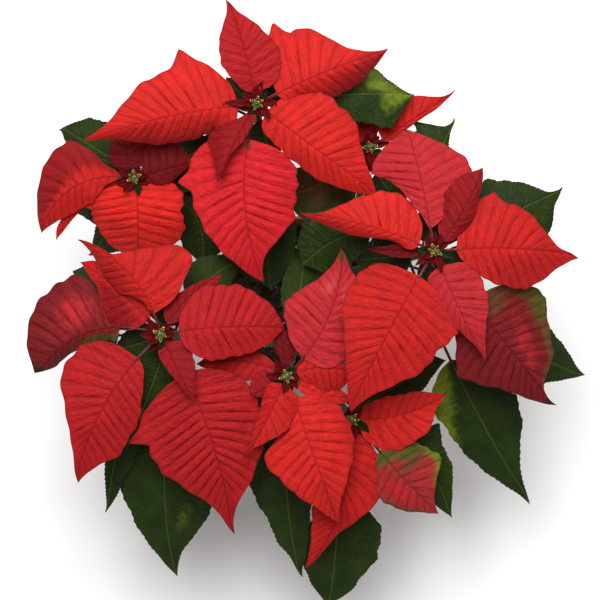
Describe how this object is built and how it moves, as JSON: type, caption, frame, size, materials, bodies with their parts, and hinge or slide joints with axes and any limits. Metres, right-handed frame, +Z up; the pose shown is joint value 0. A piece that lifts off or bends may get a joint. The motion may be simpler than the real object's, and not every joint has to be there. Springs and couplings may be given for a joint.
{
  "type": "potted poinsettia",
  "caption": "Potted poinsettia: broad red bracts round small yellow-green flower clusters over dark green leaves on branching stems, rooted in soil in a plain round pot.",
  "frame": {"origin": "centre of the pot's flat base, on the surface that it stands on", "axes": "+Z up out of the pot, +Y towards the top of the picture, +X towards its right"},
  "size_m": [0.46, 0.4995, 0.3798],
  "materials": {
    "pot_plastic": "matte terracotta-coloured moulded plastic",
    "soil": "dark fibrous potting compost",
    "leaf_green": "dark green leaf with a soft waxy sheen and paler veins",
    "bract_red": "velvety bright red bract, corrugated by its veins",
    "cyathia_green": "fleshy yellow-green flower cups with dark red tips"
  },
  "bodies": {
    "root": {"pot": "pot_plastic", "soil": "soil", "cutting_left": "leaf_green", "cutting_right": "leaf_green", "cutting_front": "leaf_green", "bracts_top": "bract_red", "bracts_left": "bract_red", "bracts_lower_left": "bract_red", "bracts_bottom": "bract_red", "bracts_right": "bract_red", "bracts_upper_right": "bract_red", "bracts_lower_right": "bract_red", "cyathia_top": "cyathia_green", "cyathia_left": "cyathia_green", "cyathia_lower_left": "cyathia_green", "cyathia_bottom": "cyathia_green", "cyathia_right": "cyathia_green", "cyathia_upper_right": "cyathia_green", "cyathia_lower_right": "cyathia_green"}
  },
  "joints": []
}
